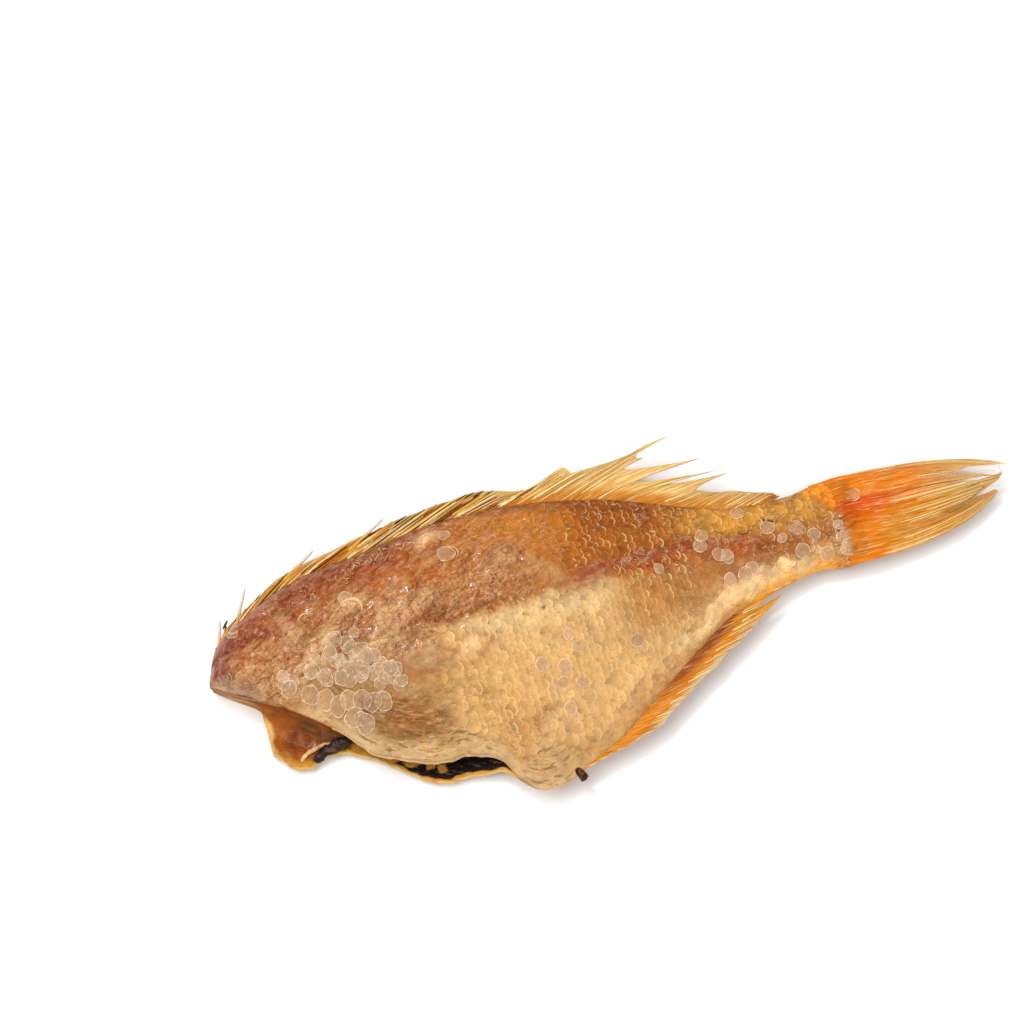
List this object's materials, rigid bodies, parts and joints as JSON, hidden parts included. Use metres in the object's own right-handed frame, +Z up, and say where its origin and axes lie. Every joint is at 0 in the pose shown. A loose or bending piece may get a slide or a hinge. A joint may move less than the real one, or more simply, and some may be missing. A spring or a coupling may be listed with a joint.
{
  "type": "dried salted redfish",
  "caption": "Whole dried salted fish without its head, gutted along the belly, with folded back fin, belly fin and forked tail, lying on its side.",
  "frame": {"origin": "on the table under the middle of the fish's outline", "axes": "+X from the neck cut to the tail, +Y from the belly to the back, +Z up out of the shown left flank"},
  "size_m": [0.2638, 0.1006, 0.0267],
  "materials": {
    "skin": "dried salted fish skin, amber to reddish brown, satin with oily gloss",
    "fin": "dry translucent fin rays and membrane, orange to golden yellow, satin",
    "lining": "dried black belly lining, satin",
    "flesh": "cut dried flesh, amber brown, satin",
    "scale": "dry translucent loose fish scales, grey beige, satin"
  },
  "bodies": {
    "root": {"dried_fish": "skin"}
  },
  "joints": []
}
